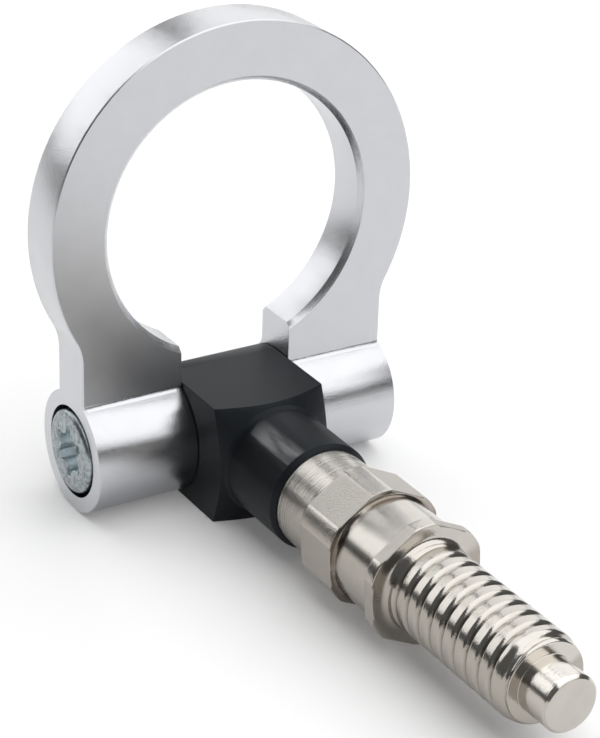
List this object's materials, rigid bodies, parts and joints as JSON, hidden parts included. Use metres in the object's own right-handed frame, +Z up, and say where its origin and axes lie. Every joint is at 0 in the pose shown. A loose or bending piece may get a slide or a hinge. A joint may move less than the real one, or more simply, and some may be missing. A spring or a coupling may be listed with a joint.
{
  "type": "tow eye",
  "caption": "Folding tow eye: a flat round ring on two pivot barrels turns on a block whose threaded shaft screws into a vehicle's socket.",
  "frame": {"origin": "on the shaft's axis, at the flange's front edge, which seats in the vehicle's socket", "axes": "-Y along the thread towards its tip, +X along the ring's pivot axis, +Z up through the standing ring"},
  "size_m": [0.082, 0.135, 0.1],
  "materials": {
    "satin_aluminium": "satin, clear anodised",
    "black_aluminium": "satin, black anodised",
    "zinc_steel": "zinc plated",
    "nickel_steel": "turned, nickel plated"
  },
  "bodies": {
    "shaft": {"swivel_block": "black_aluminium", "threaded_shaft": "nickel_steel", "pivot_bolt_left": "zinc_steel", "pivot_bolt_right": "zinc_steel"},
    "ring": {"tow_ring": "satin_aluminium"}
  },
  "joints": [
    {"name": "ring_fold", "type": "hinge", "parent": "shaft", "child": "ring", "pos_m": [0, 0.0778, 0], "axis": [1, 0, 0], "range_deg": [-255, 75]}
  ]
}
